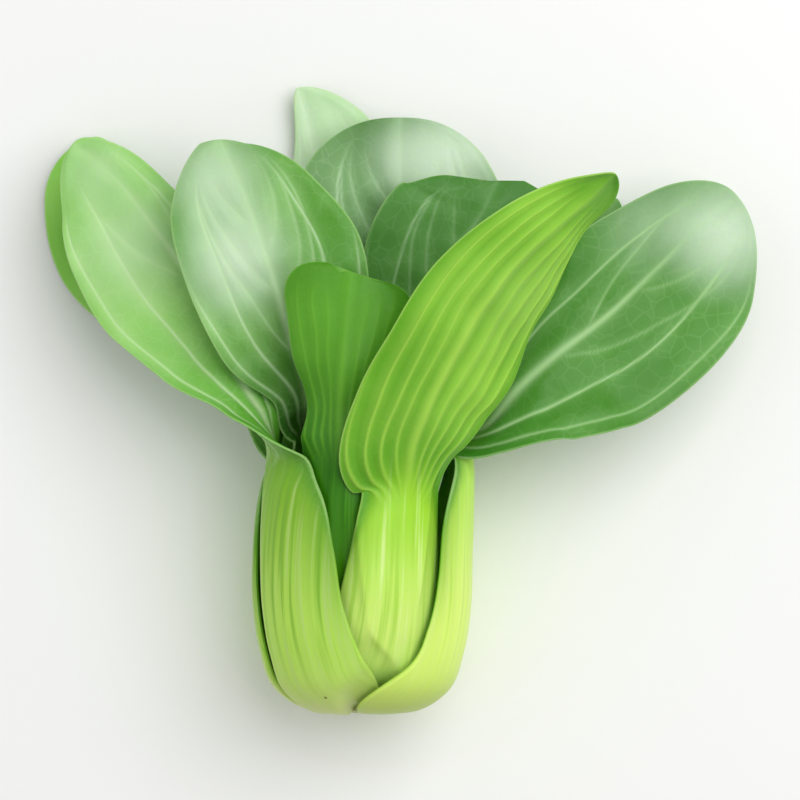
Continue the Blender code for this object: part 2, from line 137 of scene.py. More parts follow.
def readNest(depth, along, angles):
    # Catmull-Rom in both directions, so that the petioles have no creases between the nest's columns
    row = np.clip(along / nest["top"] * (nest["rows"] - 1), 0, nest["rows"] - 1.001)
    column = (angles % 360) / 360 * nest["columns"]
    r, c = np.floor(row).astype(int), np.floor(column).astype(int)

    def weights(t):
        return (-t / 2 + t * t - t ** 3 / 2, 1 - 2.5 * t * t + 1.5 * t ** 3,
                t / 2 + 2 * t * t - 1.5 * t ** 3, -t * t / 2 + t ** 3 / 2)
    total = 0
    for i, rowWeight in enumerate(weights(row - r)):
        for j, columnWeight in enumerate(weights(column - c)):
            total = total + rowWeight * columnWeight * depth[np.clip(r + i - 1, 0, nest["rows"] - 1),
                                                             (c + j - 1) % nest["columns"]]
    return total


def bladeStations(leaf, depth):
    # three stations in the nest, then the leaf's own; knots are 1 + distance / whole distance
    rows = []
    for along in np.array(nest["stations"]) * leaf.get("neck", 1.0):
        deep = readNest(depth, np.array(along), np.array(float(leaf["angle"])))
        deep = deep + petioleThickness(leaf, along, 0.0) / 2
        x, y, z = nestPoint(float(leaf["angle"]), np.array(along), deep)
        span = halfSpan(leaf, along)
        width = np.radians(span) * np.hypot(x - axisX(y), z - body["axisZ"])
        rows.append((x, y, z, (leaf["angle"] + 90) % 360 - 180, width, width, span, span))
    turn = round((leaf["stations"][0][3] - rows[0][3]) / 360) * 360
    rows = [row[:3] + (row[3] + turn,) + row[4:] for row in rows]
    free = np.array([rows[-1]] + leaf["stations"], float)
    steps = np.linalg.norm(np.diff(free[:, :3], axis=0), axis=1)
    knots = 1 + np.concatenate([[0], np.cumsum(steps)]) / np.sum(steps)
    return np.concatenate([nest["stations"][:-1], knots]), np.vstack([rows[:-1], free])


def bladeFaces(leaf, depth, along, across):
    # midrib curve + circular curl to each side of radius width / curl, with the lobes pulled down the leaf
    knots, values = bladeStations(leaf, depth)
    along = np.maximum(along, knots[0] + blade["step"])
    widths = np.maximum(throughPoints(knots, values[:, 4:6] ** leaf["tip"], along), 0) ** (1 / leaf["tip"])
    widths = np.maximum(widths, blade["tip"])
    middle = throughPoints(knots, values[:, :3], along)
    ahead = np.minimum(along + blade["step"], 2)
    tangent = (throughPoints(knots, values[:, :3], ahead)
               - throughPoints(knots, values[:, :3], ahead - 2 * blade["step"]))
    tangent /= np.linalg.norm(tangent, axis=1, keepdims=True)
    level = np.cross(tangent, [0, 0, 1])
    level /= np.linalg.norm(level, axis=1, keepdims=True)
    rise = np.cross(level, tangent)
    roll = np.radians(throughPoints(knots, values[:, 3], along))[:, None]
    right = np.cos(roll) * level + np.sin(roll) * rise
    out = -np.sin(roll) * level + np.cos(roll) * rise
    curls = np.radians(throughPoints(knots, values[:, 6:8], along))
    positive = across > 0
    width = np.where(positive, widths[:, 1:], widths[:, :1])
    curl = np.where(positive, curls[:, 1:], curls[:, :1])
    curl = np.where(np.abs(curl) < blade["leastCurl"], blade["leastCurl"], curl)
    turn = curl * np.abs(across)
    sideways = (width * np.sin(turn) / curl * np.sign(across))[..., None]
    inward = (width * (1 - np.cos(turn)) / curl)[..., None]
    surface = middle[:, None] + sideways * right[:, None] - inward * out[:, None]
    leftLobe, rightLobe = leaf.get("lobe", (0, 0))
    begin, longest, end = blade["lobeAt"]
    fade = smoothStep(begin, longest, along) * (1 - smoothStep(longest, end, along))
    lobe = np.where(positive, rightLobe, leftLobe) * across ** 2 * fade[:, None]
    slope, notch, dip = leaf.get("crest", (0, 0, 0))
    crest = slope * across - dip * np.exp(-((across - notch) / blade["notchWidth"]) ** 2)
    crest = crest * smoothStep(blade["crestFrom"], 2, along)[:, None]
    crest = crest * np.minimum(width / blade["crestWidth"], 1)
    surface = surface + (crest - lobe)[..., None] * tangent[:, None]
    leaning = (np.sin(turn) * np.sign(across))[..., None]
    normal = np.cos(turn)[..., None] * out[:, None] + leaning * right[:, None]
    return surface, normal


def plainFaces(leaf, depth, along, across):
    # the solid's own two faces: nest below the neck, stations above it, eased into each other
    a, s = np.meshgrid(along, across, indexing="ij")
    climb = np.minimum(a * leaf.get("neck", 1.0), nest["top"])
    angles = leaf["angle"] - s * halfSpan(leaf, climb)
    deep = readNest(depth, climb, angles)
    thick = petioleThickness(leaf, climb, s)
    surface, normal = bladeFaces(leaf, depth, along, across)
    height, count, phase = leaf["wave"]
    begin, full, fading = blade["waveAt"]
    fade = smoothStep(begin, full, a) * (1 - smoothStep(fading, 2, a))
    swing = np.sin(2 * np.pi * count * (a - 1) + phase + blade["waveShift"] * (s > 0))
    surface = surface + (height * fade * swing * np.abs(s) ** blade["wavePower"])[..., None] * normal
    ribbed = 1 - smoothStep(*blade["ribFade"], a)
    sheet = blade["thick"] + blade["rib"] * np.exp(-(s / blade["ribWidth"]) ** 2) * ribbed
    sheet = sheet + (thick - sheet) * (1 - smoothStep(nest["leave"][0], nest["thinAt"], a))
    stay = (1 - smoothStep(*nest["leave"], a))[..., None]
    lift = normal * sheet[..., None] / 2
    outer = stay * nestPoint(angles, climb, deep) + (1 - stay) * (surface + lift)
    inner = stay * nestPoint(angles, climb, deep + thick) + (1 - stay) * (surface - lift)
    return outer, inner


# What the finer surface adds to the solid's faces. Pairs are places along the leaf, 1 at the neck and 2 at
# the tip, or mm from the edge, between which something comes or goes.
relief = dict(ribHeight=0.16, ribPeriod=3.1, ribSpread=(0.7, 1.9), ribSway=(0.6, 31), ribFrom=(0.04, 0.3),
              ribCount=4, ribOnBlade=0.4,
              veinHeight=0.42, veinSink=0.2, veinWidth=0.62, leastVein=0.36, veinTaper=(0.65, 1.0, 1.95),
              veinThins=(0.35, 0.8), veinSwing=(0.012, 17, 2.1), veinEdge=(0.90, 0.99), veinEnds=(1.76, 1.95),
              midribWidth=1.5, midribFrom=(0.86, 1.02), midribEnds=(0.85, 1.5, 1.97),
              puff=0.5, puffWidth=2.6, puffEdge=3.5,
              ripple=0.22, rippleSize=(8, 19), rippleCount=5, rippleSum=2.2, rippleEdge=5,
              thin=0.72, roundMm=0.55, leastRound=0.12, floor=0.03, floorSheet=0.1, rim=(0.15, 0.70),
              green=(0.93, 1.14), greenMargin=(0.10, 0.18),  # how the green runs down the margins
              petioleRows=0.38, tipCrowding=1.7, edgeCrowding=0.36)


def veinField(leaf, a, X, Y, reach):
    # a vein leaves the midrib as target(1 - e^(-run/turn)) + drift run, in parts of the half width;
    # its profile is e^(-(distance/width)^2)
    ridge = np.zeros_like(X)
    near = np.zeros_like(X)
    rows = a[:, 0]
    narrower, begin, end = relief["veinTaper"]
    taper = 1 - narrower * smoothStep(begin, end, rows)
    middle = np.exp(-(X / (relief["midribWidth"] * taper[:, None])) ** 2)
    middle = middle * smoothStep(*relief["midribFrom"], a)
    lower, begin, end = relief["midribEnds"]
    ridge = np.maximum(ridge, middle * (1 - lower * smoothStep(begin, end, a)))
    near = np.maximum(near, np.exp(-(X / relief["puffWidth"]) ** 2))
    swing, turns, shift = relief["veinSwing"]
    thinner, thinAt = relief["veinThins"]
    for number, (side, start, target, turn, drift, strength) in enumerate(leaf["veins"]):
        run = np.maximum(rows - start, 0)
        line = target * (1 - np.exp(-run / turn)) + drift * run
        line = line + swing * np.sin(turns * rows + shift * number) * smoothStep(0, 0.2, run)
        edge = reach[1] if side > 0 else reach[0]
        place = side * line * edge
        slope = np.gradient(place, Y)
        distance = np.abs(X - place[:, None]) / np.sqrt(1 + slope ** 2)[:, None]
        width = relief["veinWidth"] * (0.55 + 0.45 * strength) * taper
        width = width * (1 - thinner * smoothStep(0, thinAt, run))
        width = np.maximum(width, relief["leastVein"])
        live = smoothStep(-0.01, 0.05, rows - start) * (1 - smoothStep(*relief["veinEdge"], line))
        live = live * (1 - smoothStep(*relief["veinEnds"], rows))  # the ends fade before the tip
        mark = np.exp(-(distance / width[:, None]) ** 2) * (live * strength)[:, None]
        ridge = np.maximum(ridge, mark)
        wide = np.exp(-(distance / relief["puffWidth"]) ** 2) * (live * min(1, 0.4 + strength))[:, None]
        near = np.maximum(near, wide)
    return ridge, near


def leafGrid(leaf):
    # rows crowd towards the tip, columns towards both edges
    rows, columns = leaf["grid"]
    low = np.linspace(0, 1, int(rows * relief["petioleRows"]), endpoint=False)
    t = np.linspace(0, 1, rows - len(low))
    along = np.concatenate([low, 1 + (1 - (1 - t) ** relief["tipCrowding"])])
    t = np.linspace(-1, 1, columns)
    return along, t * (1 + relief["edgeCrowding"] * (1 - t * t))


def leafSurface(leaf, depth, seed):
    # the plain faces, moved along the line between them by ribs, veins, puffs and ripples
    along, across = leafGrid(leaf)
    outer, inner = plainFaces(leaf, depth, along, across)
    a, s = np.meshgrid(along, across, indexing="ij")
    middle = (outer + inner) / 2
    apart = outer - inner
    half = np.linalg.norm(apart, axis=-1) / 2
    direction = apart / (2 * half[..., None])
    centre = len(across) // 2
    steps = np.linalg.norm(np.diff(middle, axis=1), axis=-1)
    X = np.zeros_like(a)
    X[:, centre + 1:] = np.cumsum(steps[:, centre:], axis=1)
    X[:, :centre] = -np.cumsum(steps[:, :centre][:, ::-1], axis=1)[:, ::-1]
    Y = np.concatenate([[0], np.cumsum(np.linalg.norm(np.diff(middle[:, centre], axis=0), axis=1))])
    reach = (-X[:, 0], X[:, -1])
    ridge, near = veinField(leaf, a, X, Y, reach)
    random = np.random.default_rng(seed)
    wide, narrow = relief["greenMargin"]
    bladeShare = smoothStep(*relief["green"], a + wide * s ** 2 + narrow * s ** 8)
    edgeMm = np.where(s > 0, (1 - np.abs(s)) * reach[1][:, None], (1 - np.abs(s)) * reach[0][:, None])
    rounded = np.sqrt(1 - (1 - np.clip(edgeMm / relief["roundMm"], 0, 1)) ** 2)
    rounded = np.maximum(rounded, relief["leastRound"])
    sway, swayLength = relief["ribSway"]
    ribs = 0
    for k in range(relief["ribCount"]):
        period = relief["ribPeriod"] * random.uniform(*relief["ribSpread"])
        ribs = ribs + np.sin(2 * np.pi * X / period + random.uniform(0, 6.28)
                             + sway * np.sin(Y[:, None] / swayLength + k))
    ribs = ribs / relief["ribCount"] * relief["ribHeight"] * smoothStep(*relief["ribFrom"], a)
    ribs = ribs * (1 - (1 - relief["ribOnBlade"]) * bladeShare)
    ripple = 0
    for k in range(relief["rippleCount"]):
        size = random.uniform(*relief["rippleSize"])
        heading = random.uniform(0, np.pi)
        ripple = ripple + np.sin(2 * np.pi * (X * np.cos(heading) + Y[:, None] * np.sin(heading)) / size
                                 + random.uniform(0, 6.28))
    ripple = ripple / relief["rippleSum"] * relief["ripple"] * bladeShare
    ripple = ripple * smoothStep(0, relief["rippleEdge"], edgeMm)
    puff = relief["puff"] * leaf.get("puff", 1) * (1 - near) * bladeShare
    puff = puff * smoothStep(0, relief["puffEdge"], edgeMm)
    thin = half * (1 - (1 - relief["thin"]) * bladeShare)
    height = leaf.get("veinHeight", 1) * relief["veinHeight"] * ridge * bladeShare * rounded
    sink = relief["veinSink"] * ridge * bladeShare * rounded
    outward = thin * rounded + height + (ribs * rounded) - puff + ripple
    inward = thin * rounded - sink + puff - ripple
    outer = middle + direction * outward[..., None]
    inner = middle - direction * inward[..., None]
    outer[..., 2] = np.maximum(outer[..., 2], relief["floor"])
    inner[..., 2] = np.maximum(inner[..., 2], relief["floor"] + relief["floorSheet"] * (outer[..., 2] < 0.1))
    rim = 1 - smoothStep(*relief["rim"], edgeMm)
    marks = dict(veinMark=ridge * smoothStep(0.9, 1.0, a), veinNear=near, bladeShare=bladeShare,
                 rimMark=rim * bladeShare, place=a / 2, across=s)
    return outer, inner, X, np.broadcast_to(Y[:, None], X.shape), marks


def closedSheet(name, outer, inner, X, Y, marks, material):
    # both grids with the strip round them; the inner one is turned over
    rows, columns = X.shape
    points = np.concatenate([outer.reshape(-1, 3), inner.reshape(-1, 3)]) * mm
    at = np.arange(rows * columns).reshape(rows, columns)
    under = at + rows * columns
    top = np.stack([at[:-1, :-1], at[:-1, 1:], at[1:, 1:], at[1:, :-1]], -1).reshape(-1, 4)
    bottom = np.stack([under[:-1, :-1], under[1:, :-1], under[1:, 1:], under[:-1, 1:]], -1).reshape(-1, 4)
    edge = np.concatenate([at[0, :], at[1:, -1], at[-1, -2::-1], at[-2:0:-1, 0]])
    after = np.roll(edge, -1)
    strip = np.stack([edge, edge + rows * columns, after + rows * columns, after], -1)
    faces = np.concatenate([top, bottom, strip])
    mesh = bpy.data.meshes.new(name)
    mesh.vertices.add(len(points))
    mesh.vertices.foreach_set("co", points.ravel())
    mesh.loops.add(faces.size)
    mesh.loops.foreach_set("vertex_index", faces.ravel())
    mesh.polygons.add(len(faces))
    mesh.polygons.foreach_set("loop_start", np.arange(len(faces)) * 4)
    mesh.polygons.foreach_set("use_smooth", np.ones(len(faces), bool))
    mesh.update(calc_edges=True)
    flat = np.stack([X, Y], -1).reshape(-1, 2) / 100  # UV 1 is 100 mm
    layer = mesh.uv_layers.new(name="UVMap")
    layer.data.foreach_set("uv", np.concatenate([flat, flat])[faces.ravel()].ravel())
    marks = dict(marks, innerFace=np.zeros_like(X))
    for key, values in marks.items():
        both = [values.ravel(), (values + (key == "innerFace")).ravel()]
        attribute = mesh.attributes.new(key, "FLOAT", "POINT")
        attribute.data.foreach_set("value", np.concatenate(both).astype(np.float32))
    mesh.materials.append(material)
    piece = bpy.data.objects.new(name, mesh)
    bpy.context.scene.collection.objects.link(piece)
    return piece


def linear(hexColour):
    # sRGB hex to linear: ((c + 0.055) / 1.055)^2.4, or c / 12.92 when dark
    c = np.array([int(hexColour[i:i + 2], 16) for i in (1, 3, 5)]) / 255
    c = np.where(c <= 0.04045, c / 12.92, ((c + 0.055) / 1.055) ** 2.4)
    return (*c.tolist(), 1.0)


def addNode(tree, kind, links=None, **settings):
    # one node, with its settings, and links or plain values for its inputs
    node = tree.nodes.new(kind)
    for key, value in settings.items():
        setattr(node, key, value)
    for key, value in (links or {}).items():
        if isinstance(value, bpy.types.NodeSocket):
            tree.links.new(value, node.inputs[key])
        else:
            node.inputs[key].default_value = value
    return node


def mixed(tree, share, low, high):
    # colour mix: low where share is 0, high where it is 1
    links = {0: share, 6: linear(low) if isinstance(low, str) else low,
             7: linear(high) if isinstance(high, str) else high}
    return addNode(tree, "ShaderNodeMix", links, data_type="RGBA").outputs[2]


def maths(tree, operation, *values, clamp=False):
    # arithmetic on one number per point
    node = addNode(tree, "ShaderNodeMath", dict(enumerate(values)), operation=operation, use_clamp=clamp)
    return node.outputs[0]


def ranged(tree, value, low, high, newLow=0.0, newHigh=1.0):
    # smooth step from low to high, out to the new range
    return addNode(tree, "ShaderNodeMapRange", {0: value, 1: low, 2: high, 3: newLow, 4: newHigh},
                   interpolation_type="SMOOTHSTEP").outputs[0]


# Patterns of the leaf skin. Sizes are per metre, or per 100 mm where the flat coordinates are used. Pairs are
# the values between which a mark comes or goes. Places run from the stem (0) over the neck (0.5) to the tip.
pattern = dict(cloud=38.0, cloudRange=(0.34, 0.66),  # 26 mm patches
               grain=900.0, grainShare=0.12, rimShare=0.35,  # 1.1 mm
               net=22.0, netLine=0.07, netStrength=0.7, netFades=(0.35, 0.65, 0.35),  # meshes of 4.5 mm
               streak=(46.0, 1.3, 1.0),  # 2 mm wide, 80 mm long
               darkStreak=(0.50, 0.64), paleStreak=(0.47, 0.34), darkFrom=(0.06, 0.30),
               paleFrom=(0.04, 0.25), baseEnds=(0.03, 0.20), topFrom=(0.22, 0.50), edgePower=5.0,
               edgeFrom=(0.10, 0.42), edgeShare=0.75, insideFrom=(0.05, 0.30), insideShare=(0.2, 0.9),
               gloss=(0.36, 0.50), glossRange=(0.3, 0.7), stalkGloss=0.06, bump=0.5, bumpDepth=0.0003)
leafBody = dict(ior=1.42, specular=0.3, glow=0.22, glowRadius=(0.55, 1.0, 0.16), glowDepth=0.0016)


def spotOf(tree, coordinates, centre, near, far, strength):
    # round mark: strength up to near mm from its centre, gone at far mm
    ends = {0: coordinates.outputs["Object"], 1: [v * mm for v in centre]}
    away = addNode(tree, "ShaderNodeVectorMath", ends, operation="DISTANCE").outputs["Value"]
    return ranged(tree, away, near * mm, far * mm, strength, 0.0)


def noiseOf(tree, vector, scale, detail, roughness=0.5):
    # plain noise, its value only
    links = {"Vector": vector, "Scale": scale, "Detail": detail, "Roughness": roughness}
    return addNode(tree, "ShaderNodeTexNoise", links).outputs["Fac"]


def stalkColour(tree, coordinates, mark, look):
    # petiole: pale base, streaks along it, greener edges, and an inner face darkened to a deeper green as
    # painted shade of the hollow; gives the colour and the streaks
    place = mark["place"]
    stretched = addNode(tree, "ShaderNodeMapping", {"Vector": coordinates.outputs["UV"],
                                                    "Scale": pattern["streak"]})
    streak = noiseOf(tree, stretched.outputs[0], 1.0, 2.5, 0.55)
    stalk = mixed(tree, ranged(tree, place, *pattern["baseEnds"]), look["base"], look["stalk"])
    stalk = mixed(tree, ranged(tree, place, *pattern["topFrom"]), stalk, look["stalkTop"])
    strength = look.get("streaks", 0.6)
    dark = ranged(tree, streak, *pattern["darkStreak"], 0.0, strength)
    dark = maths(tree, "MULTIPLY", dark, ranged(tree, place, *pattern["darkFrom"]))
    stalk = mixed(tree, dark, stalk, look["streakDark"])
    pale = ranged(tree, streak, *pattern["paleStreak"], 0.0, strength)
    pale = maths(tree, "MULTIPLY", pale, ranged(tree, place, *pattern["paleFrom"]))
    stalk = mixed(tree, pale, stalk, look["streakPale"])
    side = maths(tree, "POWER", maths(tree, "ABSOLUTE", mark["across"]), pattern["edgePower"])
    side = maths(tree, "MULTIPLY", side, ranged(tree, place, *pattern["edgeFrom"], 0.0, pattern["edgeShare"]))
    stalk = mixed(tree, side, stalk, look["stalkEdge"])
    # painted shade: the petiole's inner face, seen in the gaps, darkens to a deeper green, more so above the
    # stem
    insideShade = ranged(tree, place, *pattern["insideFrom"], *pattern["insideShare"])
    return mixed(tree, maths(tree, "MULTIPLY", mark["innerFace"], insideShade), stalk, look["stalkInsideShade"]), streak


def laminaColour(tree, coordinates, mark, look, cloud, grain):
    # blade: two greens a face, paler beside the veins as painted light and deeper between them as painted
    # shade, then the spots of painted sheen and shade, the vein net, the veins and the rim on top
    inner = mark["innerFace"]
    # random clouds of two greens, plus painted light beside the veins and painted shade in the puffed lamina
    # between them
    toneAndRidgeShade = maths(tree, "ADD", ranged(tree, cloud, *pattern["cloudRange"], 0.0, look.get("clouds", 0.45)),
                  maths(tree, "MULTIPLY", mark["veinNear"], look.get("beside", 0.45)), clamp=True)
    under = mixed(tree, toneAndRidgeShade, look["outerDeep"], look["outerPale"])
    upper = mixed(tree, toneAndRidgeShade, look["innerDeep"], look["innerPale"])
    lamina = mixed(tree, inner, under, upper)
    # the blade's foot by the neck takes its own greens; where the upper face's foot green is darker than its
    # blade, that is painted shade of the crease at the neck
    foot = ranged(tree, mark["place"], 0.50, look.get("footEnds", 0.66))
    lamina = mixed(tree, foot, mixed(tree, inner, look["outerFoot"], look["innerFoot"]), lamina)
    for centre, size, strength, *tint in look.get("sheenAndShadeSpots", []):  # painted sheen: pale spots where light glances off the blade; a spot that names its own deeper green is painted shade
        spot = spotOf(tree, coordinates, centre, 0.0, size, strength)
        lamina = mixed(tree, spot, lamina, tint[0] if tint else look["sheenColour"])
    meshes = {"Vector": coordinates.outputs["UV"], "Scale": pattern["net"]}
    net = addNode(tree, "ShaderNodeTexVoronoi", meshes, feature="DISTANCE_TO_EDGE").outputs["Distance"]
    low, high, least = pattern["netFades"]
    line = maths(tree, "MULTIPLY", ranged(tree, net, 0.0, pattern["netLine"], pattern["netStrength"], 0.0),
                 ranged(tree, cloud, low, high, least, 1.0))
    lamina = mixed(tree, maths(tree, "MULTIPLY", line, look.get("net", 0.16)), lamina, look["vein"])
    lamina = mixed(tree, maths(tree, "MULTIPLY", grain, pattern["grainShare"]), lamina, look["innerPale"])
    veins = maths(tree, "MULTIPLY", mark["veinMark"], look.get("veinShow", 0.8), clamp=True)
    lamina = mixed(tree, veins, lamina, look["vein"])
    # pale rim along the margin: paler thin edge tissue, with a painted highlight along the edge
    rim = maths(tree, "MULTIPLY", mark["rimMark"], pattern["rimShare"])
    return mixed(tree, rim, lamina, look["rim"])


def leafMaterial(name, look):
    # Fresh brassica leaf: thin waxy skin over wet green tissue. To the eye that is a soft broad sheen on the
    # blade, pale veins, and a juicy petiole that lets light in.
    material = bpy.data.materials.new(name)
    material.use_nodes = True
    tree = material.node_tree
    shader = tree.nodes["Principled BSDF"]
    coordinates = addNode(tree, "ShaderNodeTexCoord")
    mark = {key: addNode(tree, "ShaderNodeAttribute", attribute_name=key).outputs["Fac"]
            for key in ("veinMark", "veinNear", "bladeShare", "rimMark", "place", "across", "innerFace")}
    cloud = noiseOf(tree, coordinates.outputs["Object"], pattern["cloud"], 2.0)
    grain = noiseOf(tree, coordinates.outputs["Object"], pattern["grain"], 2.0)
    stalk, streak = stalkColour(tree, coordinates, mark, look)
    colour = mixed(tree, mark["bladeShare"], stalk, laminaColour(tree, coordinates, mark, look, cloud, grain))
    for centre, size, strength in look.get("specks", []):
        colour = mixed(tree, spotOf(tree, coordinates, centre, size * 0.4, size, strength), colour, "#5a4a18")
    tree.links.new(colour, shader.inputs["Base Color"])

    # waxy bloom: rougher where it lies thick, and a wetter look on the petiole
    rough = ranged(tree, cloud, *pattern["glossRange"], *pattern["gloss"])
    wetter = maths(tree, "MULTIPLY", maths(tree, "SUBTRACT", 1.0, mark["bladeShare"]), pattern["stalkGloss"])
    tree.links.new(maths(tree, "SUBTRACT", rough, wetter), shader.inputs["Roughness"])
    height = maths(tree, "MULTIPLY", maths(tree, "MULTIPLY", grain, 0.4), mark["bladeShare"])
    height = maths(tree, "ADD", height, maths(tree, "MULTIPLY", streak, 0.5))
    bump = addNode(tree, "ShaderNodeBump", {"Height": height, "Strength": pattern["bump"],
                                            "Distance": pattern["bumpDepth"]})
    tree.links.new(bump.outputs[0], shader.inputs["Normal"])
    shader.inputs["IOR"].default_value = leafBody["ior"]
    shader.inputs["Specular IOR Level"].default_value = leafBody["specular"]
    shader.inputs["Subsurface Weight"].default_value = leafBody["glow"]
    shader.inputs["Subsurface Radius"].default_value = leafBody["glowRadius"]
    shader.inputs["Subsurface Scale"].default_value = leafBody["glowDepth"]
    return material


# Colours: the grey-green waxy upper face, and the yellow-green lower face; the palest green is the colour of
# the painted sheen spots
waxyUpper = dict(base="#c6d67c", stalk="#bce85e", stalkTop="#84bc2e", streakDark="#78b428",
                 streakPale="#d8f098", stalkEdge="#5c9a24", stalkInsideShade="#4a8a1a", outerDeep="#62a02c",
                 outerPale="#8cc454", outerFoot="#5f9f28", innerDeep="#4f8a34", innerPale="#80b06c",
                 innerFoot="#3c7f12", vein="#b0d896", rim="#bfe09c", sheenColour="#dcefd6")
brightUnder = dict(waxyUpper, base="#c8e884", stalk="#d8f87c", stalkTop="#a0dc2c", streakDark="#a0d63c",
                   streakPale="#e6fca8", outerDeep="#60a812", outerPale="#a6de4c", outerFoot="#78c018",
                   vein="#c8f070", rim="#d4f48c", net=0.1)
heart = dict(waxyUpper, stalk="#cfe68c", stalkTop="#b7dc6a", outerDeep="#a8d35c", outerPale="#c0e27c",
             innerDeep="#8cc24a", innerPale="#b0d878", outerFoot="#b7dc6a", innerFoot="#a5d35c")

# Veins, as (side, start, target, turn, drift, strength): a vein starts at a place along the leaf, runs out to
# target of the half width within turn, and drifts on outwards.
fan = [(-1, 0.97, 0.45, 0.12, 0.18, 1.0), (1, 0.99, 0.45, 0.16, 0.20, 1.0), (-1, 0.93, 0.72, 0.08, 0.35, 0.8),
       (1, 0.94, 0.72, 0.09, 0.35, 0.8), (-1, 1.22, 0.22, 0.12, 0.75, 0.6), (1, 1.30, 0.22, 0.12, 0.75, 0.6),
       (-1, 1.42, 0.2, 0.1, 0.95, 0.5), (1, 1.50, 0.2, 0.1, 0.95, 0.5), (-1, 1.62, 0.2, 0.1, 1.2, 0.4),
       (1, 1.70, 0.2, 0.1, 1.2, 0.4)]
ridges = [(-1, 0.95, 0.20, 0.05, 0.12, 0.8), (-1, 0.94, 0.40, 0.05, 0.14, 0.9),
          (-1, 0.93, 0.62, 0.05, 0.20, 0.9), (-1, 0.92, 0.85, 0.05, 0.30, 0.9),
          (1, 0.96, 0.20, 0.06, 0.08, 0.8), (1, 0.95, 0.38, 0.06, 0.10, 0.8),
          (1, 0.94, 0.56, 0.06, 0.12, 0.8), (1, 0.93, 0.75, 0.06, 0.16, 0.8)]
rightVeins = [(-1, 0.97, 0.46, 0.12, 0.06, 1.0), (-1, 0.95, 0.80, 0.08, 0.12, 0.7),
              (1, 0.99, 0.45, 0.16, 0.06, 0.9), (1, 1.45, 0.15, 0.1, 0.9, 0.5),
              (-1, 1.34, 0.15, 0.1, 0.9, 0.4), (-1, 1.62, 0.15, 0.1, 1.1, 0.4)]
leftVeins = [(1, 0.98, 0.45, 0.12, 0.05, 1.0), (1, 0.96, 0.80, 0.07, 0.12, 0.8),
             (-1, 1.0, 0.5, 0.15, 0.1, 0.8), (1, 1.52, 0.2, 0.1, 1.0, 0.4), (-1, 1.45, 0.2, 0.1, 0.9, 0.5)]

# Half of what the three outer petioles wrap, as (place along, degrees)
rightWrap = [(0, 98), (0.14, 95), (0.23, 80), (0.31, 62), (0.43, 53), (0.60, 47), (0.80, 44), (1, 33)]
leftWrap = [(0, 98), (0.10, 94), (0.22, 83), (0.35, 72), (0.50, 63.5), (0.70, 57.5), (0.88, 48.5), (1, 35)]
farWrap = [(0, 61), (0.3, 57), (0.7, 52), (0.85, 48), (1, 39)]
